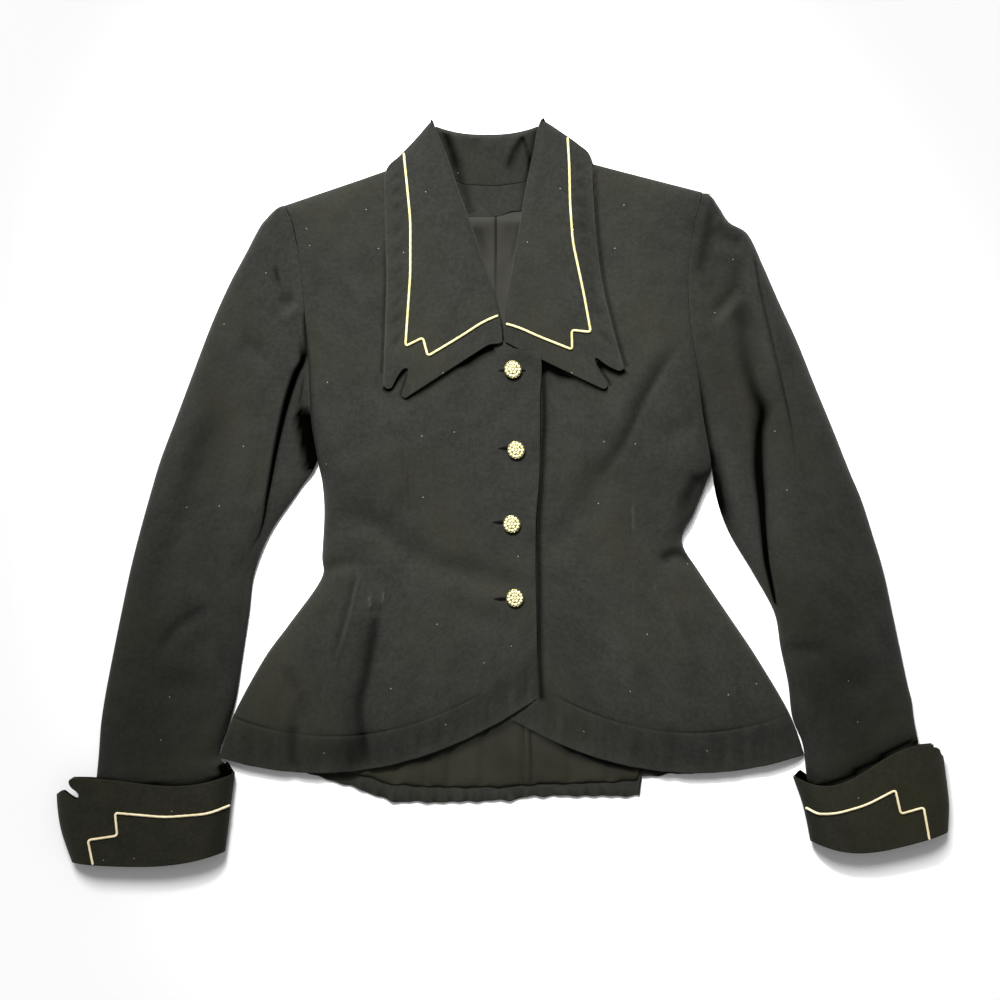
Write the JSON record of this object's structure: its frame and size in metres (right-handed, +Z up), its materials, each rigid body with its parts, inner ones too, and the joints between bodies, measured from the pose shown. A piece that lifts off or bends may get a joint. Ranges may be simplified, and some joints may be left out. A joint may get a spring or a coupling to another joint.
{
  "type": "peplum blazer",
  "caption": "Tailored black peplum jacket lying flat and buttoned, with a notched wing collar, turned-back cuffs, cream piping and jewelled buttons.",
  "frame": {"origin": "middle of the jacket's box on the table it lies on", "axes": "+Z up from the table, +Y towards the collar, +X towards the wearer's left sleeve"},
  "size_m": [0.8221, 0.688, 0.0306],
  "materials": {
    "wool": "matt fine wool twill, near black",
    "lining": "satin lining, dark olive brown",
    "piping": "cream corded piping with a soft shine",
    "button": "gilt setting full of small champagne stones"
  },
  "bodies": {
    "root": {"back": "wool", "back_lining": "lining", "back_neck_facing": "wool", "front_right": "wool", "front_left": "wool", "sleeve_right_upper": "wool", "sleeve_right_under": "wool", "sleeve_left_upper": "wool", "sleeve_left_under": "wool", "cuff_right": "wool", "cuff_left": "wool", "collar_right": "wool", "collar_left": "wool", "collar_back": "wool", "collar_piping_right": "piping", "collar_piping_left": "piping", "cuff_piping_right": "piping", "cuff_piping_left": "piping", "button_1": "button", "button_2": "button", "button_3": "button", "button_4": "button"}
  },
  "joints": []
}
